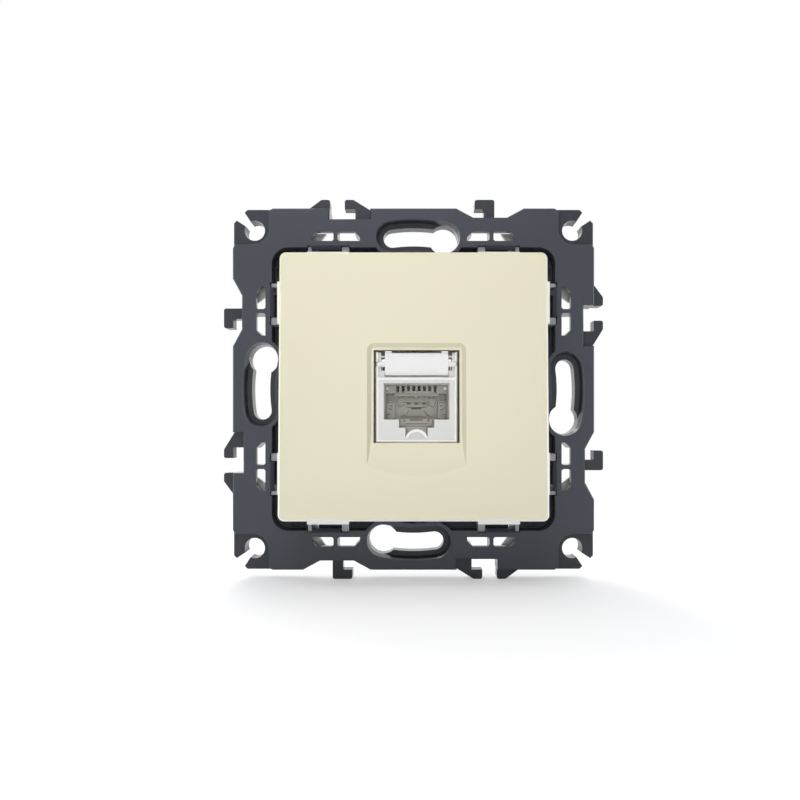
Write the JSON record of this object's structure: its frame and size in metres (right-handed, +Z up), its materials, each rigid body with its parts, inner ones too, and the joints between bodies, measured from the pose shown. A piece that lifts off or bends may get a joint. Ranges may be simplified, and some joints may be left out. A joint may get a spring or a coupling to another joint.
{
  "type": "telephone socket",
  "caption": "Flush-mount telephone socket: square support frame with keyhole slots, leaning ivory faceplate and a modular jack with a rocker latch.",
  "frame": {"origin": "centre of the fixing circle, on the support frame's wall face", "axes": "+Z up, +X to the right seen from the front, +Y into the wall; the front faces -Y"},
  "size_m": [0.075, 0.031, 0.075],
  "materials": {
    "frame_plastic": "fine-grained anthracite moulded plastic",
    "carrier_plastic": "plain white moulded plastic",
    "ivory_plastic": "smooth satin ivory plastic",
    "jack_plastic": "white moulded plastic, fine satin",
    "latch_plastic": "white moulded plastic, fine satin",
    "insert_plastic": "warm grey glossy plastic",
    "contact_gold": "pale bronze spring wire, thinly plated",
    "contact_tin": "tin-plated spring bronze",
    "board_laminate": "dark glass laminate with solder mask",
    "block_plastic": "white moulded plastic",
    "cap_plastic": "frosted clear plastic"
  },
  "bodies": {
    "socket": {"support_frame": "frame_plastic", "carrier": "carrier_plastic", "faceplate": "ivory_plastic", "jack_housing": "jack_plastic", "contact_insert": "insert_plastic", "circuit_board": "board_laminate", "punch_block": "block_plastic", "wire_cap_left": "cap_plastic", "wire_cap_right": "cap_plastic", "contact_wire_1": "contact_gold", "contact_wire_2": "contact_gold", "contact_wire_3": "contact_gold", "contact_wire_4": "contact_gold", "contact_wire_5": "contact_gold", "contact_wire_6": "contact_gold", "contact_wire_7": "contact_gold", "contact_wire_8": "contact_gold", "punch_contact_1": "contact_tin", "punch_contact_2": "contact_tin", "punch_contact_3": "contact_tin", "punch_contact_4": "contact_tin", "punch_contact_5": "contact_tin", "punch_contact_6": "contact_tin", "punch_contact_7": "contact_tin", "punch_contact_8": "contact_tin"},
    "latch": {"jack_latch": "latch_plastic"}
  },
  "joints": [
    {"name": "latch_rock", "type": "hinge", "parent": "socket", "child": "latch", "pos_m": [0.00056, -0.012, 0.00396], "axis": [1, 0, 0], "range_deg": [-8, 0], "stiffness_Nm_per_rad": 0.02}
  ]
}
